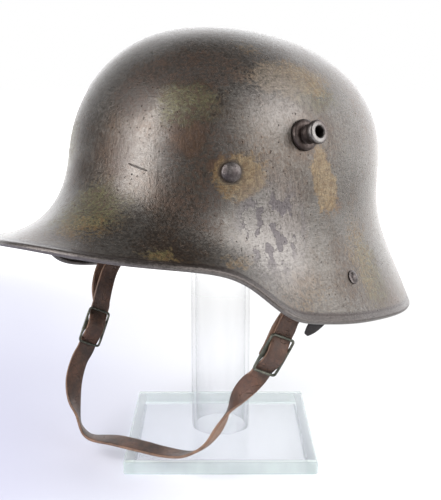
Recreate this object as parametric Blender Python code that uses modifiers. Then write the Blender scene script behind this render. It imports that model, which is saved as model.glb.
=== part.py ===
"""Steel combat helmet with its leather chin strap, standing on a clear display stand.

The helmet faces -Y, the wearer's left is +X and +Z is up.
The origin is the middle of the plate's underside, which is also the axis of the tube.
"""
import math

import bmesh
import bpy
import numpy as np
from mathutils import Matrix, Vector

MM = 0.001
GAP = 0.3 * MM

# Display stand
PLATE_SIDE = 130 * MM
PLATE_THICKNESS = 9 * MM
PLATE_CHAMFER = 0.8 * MM
PLATE_TURN = math.radians(43)
TUBE_DIAMETER = 42 * MM
TUBE_WALL = 3 * MM
TUBE_STEPS = 48

# Helmet shell, measured in the helmet's own frame, level, with the skirt's hem near zero height
HELMET_LENGTH = 318.5 * MM
HELMET_WIDTH = 235 * MM
HELMET_HEIGHT = 182 * MM
BOWL_FRONT = 108.5 * MM
BOWL_REAR = 118 * MM
BOWL_SIDE = 93 * MM
SHEET = 1.2 * MM
BEAD_DIAMETER = 4.2 * MM
BEAD_PROUD = 0.4 * MM
NOSE_UP = math.radians(7.3)
LIFT = 100.5 * MM
SHIFT_LEFT = 5 * MM
SHIFT_BACK = -13.3 * MM

# Bowl outline: how square the plan and the sections at the front, rear and side are
PLAN_POWER = 2.2
SHOULDER_POWER = {"front": 1.9, "rear": 2.4, "side": 2.25}
CROWN_POWER = {"front": 2.7, "rear": 2.05, "side": 2.3}

# Hem stations from the front round to the rear, the same on both sides.
# bearing in degrees; forward is a share of the length, side of the width, hem and waist of the height;
# slope is the sheet's fall at the hem, in degrees below level
STATIONS = (
    # bearing, forward, side, hem, slope, waist
    (0, 0.526, 0.000, 0.231, 14, 0.511),
    (20, 0.465, 0.229, 0.214, 8, 0.511),
    (38, 0.346, 0.367, 0.203, 12, 0.505),
    (52, 0.243, 0.421, 0.157, 30, 0.505),
    (64, 0.169, 0.468, 0.069, 45, 0.500),
    (76, 0.089, 0.483, 0.036, 56, 0.492),
    (88, 0.013, 0.500, 0.027, 62, 0.489),
    (105, -0.098, 0.497, 0.022, 65, 0.495),
    (125, -0.240, 0.464, 0.025, 66, 0.511),
    (150, -0.398, 0.312, 0.038, 64, 0.533),
    (180, -0.474, 0.000, 0.047, 62, 0.538),
)
UPPER_PULL = 0.45
LOWER_PULL = 0.47

# Shell mesh
COLUMNS = 72
BOWL_ROWS = 11
FLARE_ROWS = 9
BEAD_SEGMENTS = 8
CAP_RINGS = COLUMNS // 8
CAP_ANGLE = math.radians(34)
SMOOTH_ANGLE = math.radians(38)
WELD = 0.00001

# Reading the surface: steps in place and in bearing degrees, and how finely heights are searched
NORMAL_STEP = 0.002
NORMAL_START = 0.03
NORMAL_TURN = 0.2
HEM_RUN = 0.02
HALVINGS = 40
CROWN_REACH = 0.6
CROWN_SAMPLES = 120

# Fittings: bearings in degrees, heights above the helmet's zero level
LINER_RIVET_BEARINGS = {"liner_rivet_left": 44.7, "liner_rivet_right": -44.7, "liner_rivet_rear": 180}
LINER_RIVET_HEIGHT = 91.4 * MM
LINER_RIVET_HEAD = 12 * MM
LINER_RIVET_DOME_RISE = 2.5 * MM
LINER_RIVET_EDGE = 0.5 * MM
RIVET_SHANK = 4 * MM
RIVET_STEPS = 20
PEEN_EDGE = 1.2 * MM
PEEN_RIM = 0.8 * MM
PEEN_RISE = 1.4 * MM
DOME_SEGMENTS = 5
VENT_BEARING = 71.9
VENT_HEIGHT = 116.2 * MM
VENT_TIP = 14.4 * MM
VENT_LENGTH = 14 * MM
VENT_BORE = 7 * MM
VENT_LIP = 0.5 * MM
VENT_SPIGOT_WALL = 1 * MM
VENT_COLLAR_EDGE = 2.4 * MM
VENT_COLLAR_THICKNESS = 1 * MM
VENT_STEPS = 24
SKIRT_RIVET_BEARING = 97.3
SKIRT_RIVET_HEIGHT = 30.7 * MM
SKIRT_RIVET_FLANGE = 9.4 * MM
SKIRT_RIVET_FLANGE_RISE = 0.7 * MM
SKIRT_RIVET_DOME = 6.6 * MM
SKIRT_RIVET_DOME_RISE = 1.7 * MM
CLEARANCE = 0.3 * MM
DRILL_DEPTH = 16 * MM
DRILL_SIDES = 16

# Vent lug outline from the mouth out over the end ring and down the neck to the flange's edge:
# width is a share of the end ring's diameter, height of the lug's length
VENT_OUTLINE = (
    # width, height
    (0.58, 1.00),
    (0.89, 1.00),
    (1.00, 0.94),
    (1.00, 0.76),
    (0.90, 0.70),
    (0.81, 0.64),
    (0.83, 0.33),
    (0.74, 0.29),
    (0.74, 0.24),
    (1.09, 0.23),
    (1.31, 0.16),
    (1.35, 0.09),
)

# Strap lugs inside the skirt
LUG_PLATE = 1.2 * MM
LUG_LENGTH = 21 * MM
LUG_WIDTH = 16 * MM
LUG_PIN = 2.4 * MM
LUG_STANDOFF = 7 * MM
LUG_CORNER = 2 * MM
LUG_RELIEF = 0.5 * MM

# Chin strap
STRAP_WIDTH = 13 * MM
STRAP_THICKNESS = 1.8 * MM
STRAP_FORWARD = 80 * MM
STRAP_PACE = 5 * MM
STRAP_BAR_PLAY = 0.9 * MM
TAIL_SHIFT = 1.6 * MM
TAIL_BELOW_BAR = 4 * MM
TAIL_ABOVE_BAR = 3 * MM

# How far the right end's loose inner layer bows from the outer one, from its lug down
TAIL_BOWS = (2 * MM, 7 * MM, 5 * MM)

# Outline of a strap's cross section: across and deep are shares of its width and thickness
STRAP_OUTLINE = (
    # across, deep
    (-0.50, -0.50),
    (-0.17, -0.50),
    (0.17, -0.50),
    (0.50, -0.50),
    (0.50, 0.50),
    (0.17, 0.50),
    (-0.17, 0.50),
    (-0.50, 0.50),
)

# Buckles
BUCKLE_LENGTH = 28 * MM
BUCKLE_WIRE = 2 * MM
BUCKLE_BAR = 1.8 * MM
BUCKLE_SIDE_PLAY = 0.5 * MM
BUCKLE_CORNER = 2 * MM
BUCKLE_LEAD = 5 * MM
CORNER_STEPS = 3
WIRE_RESOLUTION = 2

# Chin strap sections from the wearer's left lug round to the right one.
# across is a share of the distance between the lugs, forward of the strap's forward reach,
# rise of the lugs' height over the plate; the face looks at azimuth and elevation, in degrees,
# azimuth 0 being straight ahead of the helmet and 90 the wearer's left
STRAP_SECTIONS = (
    # name, across, forward, rise, azimuth, elevation
    ("left_run", 0.504, 0.180, 0.980, 90, 15),
    ("left_run", 0.488, 0.386, 0.944, 84, 10),
    ("left_run", 0.462, 0.531, 0.864, 72, 6),
    ("left_buckle", 0.437, 0.631, 0.685, 66, 5),
    ("loop", 0.372, 0.696, 0.533, 19, -2),
    ("loop", 0.314, 0.717, 0.434, -13, 22),
    ("loop", 0.293, 0.758, 0.370, -49, 27),
    ("loop", 0.261, 0.779, 0.265, -79, 28),
    ("loop", 0.224, 0.814, 0.163, -80, 42),
    ("loop", 0.159, 0.877, 0.079, -96, 65),
    ("loop", 0.063, 0.924, 0.051, -63, 87),
    ("loop", -0.027, 1.022, 0.066, 41, 85),
    ("loop", -0.134, 1.079, 0.062, -36, 84),
    ("loop", -0.235, 1.117, 0.042, -162, 80),
    ("loop", -0.307, 1.086, 0.047, 158, 39),
    ("loop", -0.360, 1.047, 0.077, 148, 18),
    ("loop", -0.414, 0.987, 0.150, 113, 28),
    ("loop", -0.456, 0.902, 0.260, 85, 28),
    ("loop", -0.483, 0.762, 0.369, 77, 13),
    ("right_buckle", -0.472, 0.613, 0.532, 68, 5),
    ("right_run", -0.486, 0.471, 0.731, 74, 3),
    ("right_run", -0.492, 0.360, 0.864, 80, -3),
    ("right_run", -0.478, 0.228, 0.960, 85, -12),
)

# Torn leather tab under the left side of the skirt
TAB_WIDTH = 9 * MM
TAB_THICKNESS = 1.5 * MM
TAB_FALL = 27 * MM
TAB_SECTIONS = (
    # fall, forward and outward travel as shares of the fall, width share, azimuth of the face in degrees
    (0.00, 0.00, 0.00, 0.80, 90),
    (0.26, 0.26, 0.08, 0.80, 88),
    (0.52, 0.63, 0.12, 0.85, 80),
    (0.70, 0.93, 0.06, 1.00, 66),
    (0.86, 1.11, -0.02, 0.85, 50),
    (1.00, 1.20, -0.10, 0.30, 30),
)

COLOURS = {
    # red, green, blue, metallic, roughness
    "painted_steel": (0.10, 0.09, 0.07, 0.6, 0.45),
    "worn_steel": (0.16, 0.15, 0.13, 0.9, 0.40),
    "buckle_steel": (0.17, 0.16, 0.13, 0.9, 0.45),
    "leather": (0.10, 0.05, 0.03, 0.0, 0.65),
    "clear_acrylic": (0.90, 0.94, 0.94, 0.0, 0.05),
    "clear_glass": (0.80, 0.90, 0.86, 0.0, 0.05),
}


def clear_scene():
    for item in list(bpy.data.objects):
        bpy.data.objects.remove(item, do_unlink=True)


def collection(name):
    found = bpy.data.collections.new(name)
    bpy.context.scene.collection.children.link(found)
    return found


def material(name):
    red, green, blue, metallic, roughness = COLOURS[name]
    made = bpy.data.materials.get(name) or bpy.data.materials.new(name)
    made.use_nodes = True
    shader = made.node_tree.nodes["Principled BSDF"]
    shader.inputs["Base Color"].default_value = (red, green, blue, 1)
    shader.inputs["Metallic"].default_value = metallic
    shader.inputs["Roughness"].default_value = roughness
    if name.startswith("clear"):
        shader.inputs["Transmission Weight"].default_value = 1
    return made


def add_object(name, mesh, finish, matrix=None, parent=None, smooth=True):
    made = bpy.data.objects.new(name, mesh)
    PARTS.objects.link(made)
    made.data.materials.clear()
    made.data.materials.append(material(finish))
    if parent is not None:
        made.parent = parent
    if matrix is not None:
        made.matrix_local = matrix
    if smooth:
        made.data.shade_smooth()
        made.data.set_sharp_from_angle(angle=SMOOTH_ANGLE)
    return made


def mesh_from_grid(name, points, faces):
    mesh = bpy.data.meshes.new(name)
    mesh.from_pydata([tuple(point) for point in points], [], faces)
    mesh.validate()
    return mesh


def weld(mesh):
    work = bmesh.new()
    work.from_mesh(mesh)
    bmesh.ops.remove_doubles(work, verts=work.verts, dist=WELD)
    bmesh.ops.recalc_face_normals(work, faces=work.faces)
    work.to_mesh(mesh)
    work.free()


def baked(made):
    """A plain mesh of the object as it is evaluated, in its own space."""
    graph = bpy.context.evaluated_depsgraph_get()
    graph.update()
    return bpy.data.meshes.new_from_object(made.evaluated_get(graph), depsgraph=graph)


def add_boolean(made, cutter, operation):
    step = made.modifiers.new(operation.lower(), "BOOLEAN")
    step.operation = operation
    step.object = cutter
    step.solver = "EXACT"


def hide_cutter(cutter):
    cutter.hide_render = True
    cutter.display_type = "WIRE"
    CUTTERS.objects.link(cutter)


def spline(knots, values, wanted, period):
    """A smooth periodic cubic through the values at the knots, read at the wanted places."""
    knots = np.asarray(knots, float)
    values = np.asarray(values, float)
    count = len(knots)
    step = np.diff(np.append(knots, knots[0] + period))
    rise = (np.roll(values, -1) - values) / step
    system = np.zeros((count, count))
    right = np.zeros(count)
    for index in range(count):
        before = step[index - 1]
        after = step[index]
        system[index, index] = 2 * (before + after)
        system[index, (index - 1) % count] += before
        system[index, (index + 1) % count] += after
        right[index] = 6 * (rise[index] - rise[index - 1])
    bend = np.linalg.solve(system, right)
    place = (np.asarray(wanted, float) - knots[0]) % period + knots[0]
    which = np.clip(np.searchsorted(knots, place, side="right") - 1, 0, count - 1)
    along = place - knots[which]
    span = step[which]
    following = (which + 1) % count
    slope = rise[which] - span * (2 * bend[which] + bend[following]) / 6
    return (
        values[which]
        + slope * along
        + bend[which] * along ** 2 / 2
        + (bend[following] - bend[which]) * along ** 3 / (6 * span)
    )


def station_column(column, bearing, odd=False):
    """One column of the station table, read smoothly at a bearing, mirrored to the other side."""
    ahead = [(row[0], row[column]) for row in STATIONS]
    sign = -1 if odd else 1
    back = [(360 - row[0], sign * row[column]) for row in reversed(STATIONS[1:-1])]
    knots, values = zip(*(ahead + back))
    return float(spline(knots, values, bearing, 360))


def waist_radius(bearing):
    """Distance from the middle to the bowl's widest line, in plan."""
    ahead = math.cos(bearing)
    half_length = BOWL_FRONT if ahead > 0 else BOWL_REAR
    total = (abs(ahead) / half_length) ** PLAN_POWER + (abs(math.sin(bearing)) / BOWL_SIDE) ** PLAN_POWER
    return total ** (-1 / PLAN_POWER)


def blended_power(powers, bearing):
    ahead = math.cos(bearing)
    end = powers["front"] if ahead > 0 else powers["rear"]
    return powers["side"] + (end - powers["side"]) * ahead ** 2


def bowl_point(bearing_degrees, fall):
    """A point of the outer surface above the waist; fall runs from 0 at the crown to 90 degrees."""
    bearing = math.radians(bearing_degrees)
    waist = station_column(5, bearing_degrees) * HELMET_HEIGHT
    shoulder = blended_power(SHOULDER_POWER, bearing)
    crown = blended_power(CROWN_POWER, bearing)
    reach = waist_radius(bearing) * math.sin(fall) ** (2 / crown)
    rise = max(math.cos(fall), 0) ** (2 / shoulder)
    height = waist + (HELMET_HEIGHT - waist) * rise
    return Vector((reach * math.sin(bearing), -reach * math.cos(bearing), height))


def flare_point(bearing_degrees, share):
    """A point of the outer surface from the waist, share 0, to the hem, share 1."""
    bearing = math.radians(bearing_degrees)
    reach = waist_radius(bearing)
    waist = Vector((reach * math.sin(bearing), -reach * math.cos(bearing), 0))
    waist.z = station_column(5, bearing_degrees) * HELMET_HEIGHT
    hem = Vector((
        station_column(2, bearing_degrees, odd=True) * HELMET_WIDTH,
        -station_column(1, bearing_degrees) * HELMET_LENGTH,
        station_column(3, bearing_degrees) * HELMET_HEIGHT,
    ))
    outward = Vector((hem.x - waist.x, hem.y - waist.y, 0))
    drop = waist.z - hem.z
    pull = LOWER_PULL * math.hypot(outward.length, drop)
    slope = math.radians(station_column(4, bearing_degrees))
    outward.normalize()
    upper = waist - Vector((0, 0, UPPER_PULL * drop))
    lower = hem - outward * (pull * math.cos(slope)) + Vector((0, 0, pull * math.sin(slope)))
    rest = 1 - share
    return (
        waist * rest ** 3
        + upper * (3 * rest ** 2 * share)
        + lower * (3 * rest * share ** 2)
        + hem * share ** 3
    )


def outer_point(bearing, place):
    """The outer surface at a place from 0 at the crown, over 1 at the waist, to 2 at the hem."""
    if place <= 1:
        return bowl_point(bearing, place * math.pi / 2)
    return flare_point(bearing, place - 1)


def outer_normal(bearing, place):
    """The outward direction at a place, from the surface's travel downward and round."""
    near = min(max(place, NORMAL_START), 2 - NORMAL_STEP)
    down = outer_point(bearing, near + NORMAL_STEP) - outer_point(bearing, near - NORMAL_STEP)
    sideways = outer_point(bearing + NORMAL_TURN, near) - outer_point(bearing - NORMAL_TURN, near)
    return down.cross(sideways).normalized()


def place_at_height(bearing, height):
    """The place on a section whose outer point lies at the given height."""
    low = 0.0
    high = 2.0
    for _ in range(HALVINGS):
        middle = (low + high) / 2
        if outer_point(bearing, middle).z > height:
            low = middle
        else:
            high = middle
    return (low + high) / 2


def seat(bearing, height):
    """Outer surface point and outward direction, in the helmet's frame."""
    place = place_at_height(bearing, height)
    return outer_point(bearing, place), outer_normal(bearing, place)


def facing(point, direction, along=Vector((0, 0, 1))):
    """A matrix at the point with its Z along the direction and its Y close to along."""
    across = along.cross(direction).normalized()
    upward = direction.cross(across).normalized()
    turned = Matrix((across, upward, direction)).transposed().to_4x4()
    turned.translation = point
    return turned


def bead_profile(bearing):
    """The rolled hem of one section, from where it leaves the outer face to the inner face."""
    hem = outer_point(bearing, 2)
    ahead = (hem - outer_point(bearing, 2 - HEM_RUN)).normalized()
    level = outer_normal(bearing, 2 - HEM_RUN / 2)
    radius = BEAD_DIAMETER / 2
    centre = hem - ahead * radius - level * (radius - BEAD_PROUD)
    start = math.atan2(radius - BEAD_PROUD, -math.sqrt(radius ** 2 - (radius - BEAD_PROUD) ** 2))
    rise = radius - BEAD_PROUD - SHEET
    end = math.atan2(rise, -math.sqrt(radius ** 2 - rise ** 2)) - 2 * math.pi
    points = []
    for step in range(BEAD_SEGMENTS + 1):
        angle = start + (end - start) * step / BEAD_SEGMENTS
        points.append(centre + ahead * (radius * math.cos(angle)) + level * (radius * math.sin(angle)))
    return points


def cap_bearing_and_ring(row, column):
    """Bearing in degrees and ring share of a point of the square grid that closes the crown."""
    x = column / CAP_RINGS - 1
    y = row / CAP_RINGS - 1
    ring = max(abs(x), abs(y))
    if ring == 0:
        return 0.0, 0.0
    if abs(x) >= abs(y):
        turn = (90 if x > 0 else 270) + 45 * y / x
    else:
        turn = (180 if y > 0 else 0) - 45 * x / y
    return turn % 360, ring


def shell_mesh():
    """One closed sheet: outer face, rolled hem and inner face."""
    points = []
    faces = []

    def surface(bearing, place, depth):
        return outer_point(bearing, place) - outer_normal(bearing, place) * depth

    def cap(depth):
        first = len(points)
        side = 2 * CAP_RINGS + 1
        for row in range(side):
            for column in range(side):
                bearing, ring = cap_bearing_and_ring(row, column)
                points.append(surface(bearing, ring * CAP_ANGLE / (math.pi / 2), depth))
        for row in range(side - 1):
            for column in range(side - 1):
                corner = first + row * side + column
                faces.append((corner, corner + 1, corner + side + 1, corner + side))

    def ring_faces(upper, lower):
        for column in range(COLUMNS):
            following = (column + 1) % COLUMNS
            faces.append((upper[column], upper[following], lower[following], lower[column]))

    def add_ring(ring_points):
        first = len(points)
        points.extend(ring_points)
        return list(range(first, first + COLUMNS))

    bearings = [360 * column / COLUMNS for column in range(COLUMNS)]
    cap_place = CAP_ANGLE / (math.pi / 2)
    places = [cap_place + (1 - cap_place) * row / BOWL_ROWS for row in range(BOWL_ROWS + 1)]
    places += [1 + row / FLARE_ROWS for row in range(1, FLARE_ROWS)]
    cap(0)
    rings = [add_ring([surface(bearing, place, 0) for bearing in bearings]) for place in places]
    profiles = [bead_profile(bearing) for bearing in bearings]
    for step in range(BEAD_SEGMENTS + 1):
        rings.append(add_ring([profile[step] for profile in profiles]))
    for place in reversed(places):
        rings.append(add_ring([surface(bearing, place, SHEET) for bearing in bearings]))
    for upper, lower in zip(rings, rings[1:]):
        ring_faces(upper, lower)
    cap(SHEET)
    mesh = mesh_from_grid("helmet_shell", points, faces)
    weld(mesh)
    return mesh


def turned_mesh(name, outline, steps):
    """A turned piece from its outline, run from the top down its outer side."""
    edges = [(index, index + 1) for index in range(len(outline) - 1)]
    mesh = bpy.data.meshes.new(name)
    mesh.from_pydata([(radius, 0, height) for radius, height in outline], edges, [])
    holder = bpy.data.objects.new(name, mesh)
    bpy.context.scene.collection.objects.link(holder)
    screw = holder.modifiers.new("turn", "SCREW")
    screw.steps = steps
    screw.render_steps = steps
    screw.use_merge_vertices = True
    screw.merge_threshold = WELD
    screw.use_smooth_shade = True
    made = baked(holder)
    bpy.data.objects.remove(holder, do_unlink=True)
    weld(made)
    return made


def add_cutter(name, mesh, frame, parent=None):
    cutter = bpy.data.objects.new(name, mesh)
    cutter.parent = parent
    cutter.matrix_local = frame
    hide_cutter(cutter)
    return cutter


def drill(diameter, frame, parent=None):
    """A cutter that drills along a fitting's axis, through the frame's origin."""
    radius = diameter / 2
    work = bmesh.new()
    bmesh.ops.create_cone(
        work,
        cap_ends=True,
        segments=DRILL_SIDES,
        radius1=radius,
        radius2=radius,
        depth=DRILL_DEPTH,
    )
    mesh = bpy.data.meshes.new("drill")
    work.to_mesh(mesh)
    work.free()
    return add_cutter("drill", mesh, frame, parent)


def block_mesh(name, size):
    """A plain block about the origin."""
    work = bmesh.new()
    bmesh.ops.create_cube(work, size=1, matrix=Matrix.Diagonal((*size, 1)))
    mesh = bpy.data.meshes.new(name)
    work.to_mesh(mesh)
    work.free()
    return mesh


def make_shell():
    shell = add_object("helmet_shell", shell_mesh(), "painted_steel", parent=HELMET)
    holes = [(RIVET_SHANK, bearing, LINER_RIVET_HEIGHT) for bearing in LINER_RIVET_BEARINGS.values()]
    for side in (1, -1):
        holes.append((vent_spigot(), side * VENT_BEARING, VENT_HEIGHT))
        holes.append((RIVET_SHANK, side * SKIRT_RIVET_BEARING, SKIRT_RIVET_HEIGHT))
    for diameter, bearing, height in holes:
        cutter = drill(diameter + 2 * CLEARANCE, facing(*seat(bearing, height)), HELMET)
        add_boolean(shell, cutter, "DIFFERENCE")


def dome(head, rise):
    """Outline points of a low round head, from its top to its edge."""
    radius = (head ** 2 / 4 + rise ** 2) / (2 * rise)
    widest = math.asin(head / 2 / radius)
    angles = [widest * step / DOME_SEGMENTS for step in range(DOME_SEGMENTS + 1)]
    return [(radius * math.sin(angle), radius * math.cos(angle) - radius + rise) for angle in angles]


def peen_radius():
    """Radius of a rivet's flattened end inside the helmet."""
    return RIVET_SHANK / 2 + PEEN_EDGE


def rivet_outline(head, rise, flange, flange_rise, grip):
    """A rivet with a round head above the sheet, a shank through it and a peened end inside."""
    shank = RIVET_SHANK / 2
    peen = peen_radius()
    outline = [(x, z + flange_rise + GAP) for x, z in dome(head, rise)]
    if flange > head:
        outline += [(flange / 2, GAP + flange_rise / 2)]
    outline += [(flange / 2, GAP), (shank, GAP), (shank, -grip)]
    outline += [(peen, -grip), (peen, -grip - PEEN_RIM), (0, -grip - PEEN_RISE)]
    return outline


def make_liner_rivets():
    grip = SHEET + 2 * GAP
    head = LINER_RIVET_HEAD
    outline = rivet_outline(head, LINER_RIVET_DOME_RISE, head, LINER_RIVET_EDGE, grip)
    for name, bearing in LINER_RIVET_BEARINGS.items():
        frame = facing(*seat(bearing, LINER_RIVET_HEIGHT))
        add_object(name, turned_mesh(name, outline, RIVET_STEPS), "worn_steel", frame, HELMET)


def make_skirt_rivets():
    grip = SHEET + LUG_PLATE + LUG_RELIEF + 3 * GAP
    outline = rivet_outline(
        SKIRT_RIVET_DOME,
        SKIRT_RIVET_DOME_RISE,
        SKIRT_RIVET_FLANGE,
        SKIRT_RIVET_FLANGE_RISE,
        grip,
    )
    for name, side in (("skirt_rivet_left", 1), ("skirt_rivet_right", -1)):
        frame = facing(*seat(side * SKIRT_RIVET_BEARING, SKIRT_RIVET_HEIGHT))
        add_object(name, turned_mesh(name, outline, RIVET_STEPS), "worn_steel", frame, HELMET)


def sag(radius):
    """How far the bowl's side curves away under a flat ring of this radius."""
    return radius ** 2 / (2 * BOWL_SIDE)


def vent_spigot():
    """Diameter of the vent lug's stem where it goes through the shell."""
    return VENT_BORE + 2 * VENT_SPIGOT_WALL


def make_vent_lugs():
    """Hollow stepped lugs whose bores open into the helmet."""
    mouth = (VENT_BORE / 2, VENT_LENGTH - VENT_LIP)
    spigot = vent_spigot() / 2
    collar = spigot + VENT_COLLAR_EDGE
    inside = -SHEET - GAP - sag(collar)
    end = inside - VENT_COLLAR_THICKNESS
    outside = [(width * VENT_TIP / 2, height * VENT_LENGTH) for width, height in VENT_OUTLINE]
    flange = outside[-1][0]
    foot = [(flange, GAP - sag(flange) / 2), (spigot, GAP), (spigot, inside), (collar, inside)]
    outline = [mouth] + outside + foot + [(collar, end), (VENT_BORE / 2, end), mouth]
    for name, side in (("vent_lug_left", 1), ("vent_lug_right", -1)):
        frame = facing(*seat(side * VENT_BEARING, VENT_HEIGHT))
        add_object(name, turned_mesh(name, outline, VENT_STEPS), "worn_steel", frame, HELMET)


def lug_seat(side):
    """World point of a strap lug's plate on the skirt's inner face, and the way out through the skirt."""
    point, out = seat(side * SKIRT_RIVET_BEARING, SKIRT_RIVET_HEIGHT)
    point = HELMET_MATRIX @ (point - out * (SHEET + GAP + LUG_RELIEF))
    return point, (HELMET_MATRIX.to_3x3() @ out).normalized()


def pin_centre(side):
    point, out = lug_seat(side)
    return point - out * (LUG_PLATE + LUG_STANDOFF)


def lug_frame(side):
    """World frame of a strap lug: Z out through the skirt, X along the strap's first run."""
    point, out = lug_seat(side)
    rows = section_points()
    first = rows[0][1] if side > 0 else rows[-1][1]
    return facing(point, out, out.cross(first - pin_centre(side)))


def wire_mesh(name, route, diameter, closed=False):
    """A round wire through the points of a route, as a welded mesh."""
    curve = bpy.data.curves.new(name, "CURVE")
    curve.dimensions = "3D"
    curve.bevel_depth = diameter / 2
    curve.bevel_resolution = WIRE_RESOLUTION
    curve.use_fill_caps = not closed
    line = curve.splines.new("POLY")
    line.points.add(len(route) - 1)
    line.use_cyclic_u = closed
    for spot, place in zip(line.points, route):
        spot.co = (*place, 1)
    holder = bpy.data.objects.new(name, curve)
    bpy.context.scene.collection.objects.link(holder)
    mesh = baked(holder)
    bpy.data.objects.remove(holder, do_unlink=True)
    weld(mesh)
    return mesh


def make_strap_lugs():
    """A plate held by the skirt rivet, with two cheeks and a pin that the strap goes round."""
    for name, side in (("strap_lug_left", 1), ("strap_lug_right", -1)):
        frame = lug_frame(side)
        middle = frame @ Matrix.Translation((0, 0, -LUG_PLATE / 2))
        mesh = block_mesh(name, (LUG_WIDTH, LUG_LENGTH, LUG_PLATE))
        lug = add_object(name, mesh, "worn_steel", middle)
        pin = wire_mesh("lug_bail", bail_route(), LUG_PIN)
        add_boolean(lug, add_cutter(name + "_bail", pin, frame), "UNION")
        short = middle @ Matrix.Diagonal((1, 1, LUG_PLATE * 3 / DRILL_DEPTH, 1))
        add_boolean(lug, drill(RIVET_SHANK + 2 * CLEARANCE, short), "DIFFERENCE")


def bail_route():
    """Points of the bail in the lug's frame, from one end of the plate to the other."""
    half = LUG_LENGTH / 2 - LUG_PIN / 2 - GAP
    deep = -LUG_PLATE - LUG_STANDOFF
    route = [Vector((0, -half, -LUG_PLATE / 2))]
    for step in range(CORNER_STEPS + 1):
        angle = math.pi / 2 * step / CORNER_STEPS
        sideways = LUG_CORNER * (1 - math.cos(angle))
        inward = LUG_CORNER * (1 - math.sin(angle))
        route.append(Vector((0, sideways - half, deep + inward)))
    mirrored = [Vector((0, -spot.y, spot.z)) for spot in reversed(route)]
    return route + mirrored


def face_vector(azimuth, elevation):
    azimuth = math.radians(azimuth)
    elevation = math.radians(elevation)
    flat = math.cos(elevation)
    return Vector((math.sin(azimuth) * flat, -math.cos(azimuth) * flat, math.sin(elevation)))


def section_points():
    """Middle of the strap and its facing at each named section, in the world."""
    left = pin_centre(1)
    right = pin_centre(-1)
    middle = (left + right) / 2
    span = left.x - right.x
    height = middle.z - PLATE_THICKNESS
    rows = []
    for name, across, forward, rise, azimuth, elevation in STRAP_SECTIONS:
        spot = Vector((
            middle.x + across * span,
            middle.y - forward * STRAP_FORWARD,
            PLATE_THICKNESS + rise * height,
        ))
        rows.append((name, spot, face_vector(azimuth, elevation)))
    return rows


def smooth_lines(spots, others, pace):
    """Points along a smooth curve through the spots, about a pace apart, with the others' values there."""
    knots = [0.0]
    for near, far in zip(spots, spots[1:]):
        knots.append(knots[-1] + math.sqrt((far - near).length))

    def blend(values, index, time):
        ends = [min(max(index + shift, 0), len(values) - 1) for shift in (-1, 0, 1, 2)]
        times = [knots[end] for end in ends]
        if ends[0] == ends[1]:
            times[0] = times[1] - (times[2] - times[1])
        if ends[3] == ends[2]:
            times[3] = times[2] + (times[2] - times[1])
        level = [values[end] for end in ends]
        for reach in (1, 2, 3):
            following = []
            for place in range(len(level) - 1):
                first = times[place] if reach < 3 else times[1]
                last = times[place + reach] if reach < 3 else times[2]
                share = (time - first) / (last - first)
                following.append(level[place] * (1 - share) + level[place + 1] * share)
            level = following
        return level[0]

    line = []
    values = []
    for index in range(len(spots) - 1):
        steps = max(1, round((spots[index + 1] - spots[index]).length / pace))
        for step in range(steps):
            time = knots[index] + (knots[index + 1] - knots[index]) * step / steps
            line.append(blend(spots, index, time))
            values.append(blend(others, index, time))
    return line + [spots[-1].copy()], values + [others[-1].copy()]


def buckle_frame(rows, name):
    """World frame of a buckle: Y up along the strap, Z out of its face."""
    index = [row[0] for row in rows].index(name)
    toward_lug = rows[index - 1][1] if name.startswith("left") else rows[index + 1][1]
    away = rows[index + 1][1] if name.startswith("left") else rows[index - 1][1]
    upward = (toward_lug - away).normalized()
    face = rows[index][2]
    face = (face - upward * face.dot(upward)).normalized()
    frame = Matrix((upward.cross(face), upward, face)).transposed().to_4x4()
    frame.translation = rows[index][1]
    return frame


def strap_end(rows, side):
    """Sections of a doubled end from the tail, round the lug's pin, down to below the buckle."""
    left = side > 0
    runs = [row for row in rows if row[0] == ("left_run" if left else "right_run")]
    if not left:
        runs = runs[::-1]
    frame = buckle_frame(rows, "left_buckle" if left else "right_buckle")
    upward = frame.col[1].to_3d()
    face = frame.col[2].to_3d()
    across = frame.col[0].to_3d()
    layer = (STRAP_THICKNESS + GAP) / 2
    bar = BUCKLE_WIRE / 2 + STRAP_THICKNESS / 2 + STRAP_BAR_PLAY
    half = (BUCKLE_LENGTH - BUCKLE_WIRE) / 2
    lead = half + BUCKLE_LEAD
    lug = lug_frame(side)
    pin = pin_centre(side)
    pin_face = lug.col[2].to_3d() * side
    turn = LUG_PIN / 2 + STRAP_THICKNESS / 2 + GAP
    slant = turn * math.sqrt(0.5)
    back = pin - runs[0][1]
    back = (back - pin_face * back.dot(pin_face)).normalized()
    tail = [
        (frame.translation - upward * TAIL_BELOW_BAR - face * bar, face),
        (frame.translation + upward * TAIL_ABOVE_BAR - face * bar, face),
        (frame.translation + upward * half - face * (bar + 2 * layer), face),
        (frame.translation + upward * lead - face * (bar + 2 * layer), face),
    ]
    tail = [(spot + across * TAIL_SHIFT * -side, facing_out) for spot, facing_out in tail]
    for bow, (_, spot, facing_out) in reversed(list(zip(TAIL_BOWS, runs))):
        tail.append((spot - facing_out * (layer if left else layer + bow), facing_out))
    tail = [(spot, -facing_out) for spot, facing_out in tail]
    bend = [
        (pin - pin_face * turn, -pin_face),
        (pin - pin_face * slant + back * slant, (back - pin_face).normalized()),
        (pin + back * turn, back),
        (pin + pin_face * slant + back * slant, (back + pin_face).normalized()),
        (pin + pin_face * turn, pin_face),
    ]
    outer = [(spot + facing_out * layer, facing_out) for _, spot, facing_out in runs]
    outer += [
        (frame.translation + upward * lead - face * bar, face),
        (frame.translation + upward * half - face * bar, face),
        (frame.translation + face * bar, face),
        (frame.translation - upward * half - face * bar, face),
        (frame.translation - upward * lead - face * (bar + GAP), face),
    ]
    return tail + bend + outer


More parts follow.
